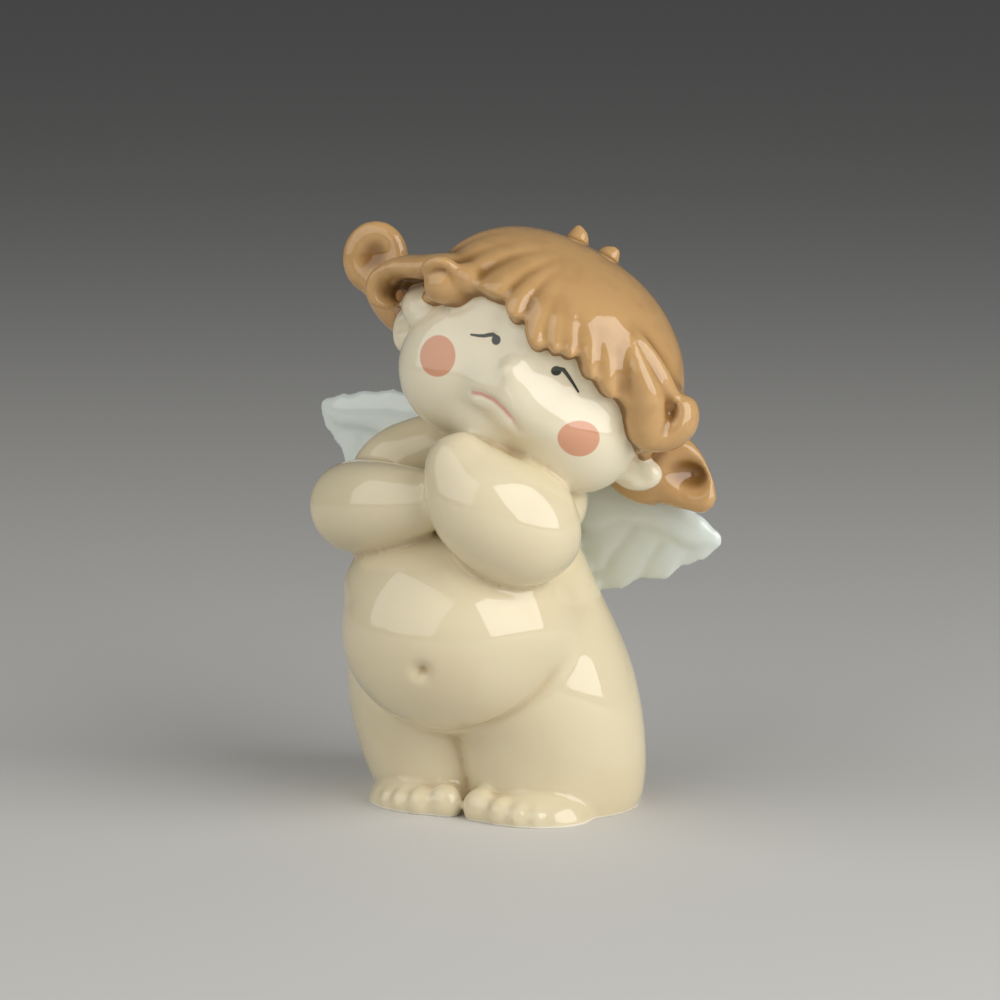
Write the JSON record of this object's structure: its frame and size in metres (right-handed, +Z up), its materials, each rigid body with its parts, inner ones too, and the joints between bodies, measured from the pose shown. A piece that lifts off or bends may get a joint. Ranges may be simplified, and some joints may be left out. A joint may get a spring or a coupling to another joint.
{
  "type": "porcelain angel figurine",
  "caption": "Glazed porcelain cherub that stands on its own flat underside, with its tilted head leaning on folded arms, curled hair and small spread wings.",
  "frame": {"origin": "middle of the flat underside, where the feet and the back of the figure meet the floor", "axes": "+Z up; the cherub faces -Y; its own left side is +X"},
  "size_m": [0.1054, 0.0667, 0.1292],
  "materials": {
    "porcelain": "high-gloss glazed porcelain, beige body, paler face, caramel hair and white wings"
  },
  "bodies": {
    "root": {"angel_figurine": "porcelain"}
  },
  "joints": []
}
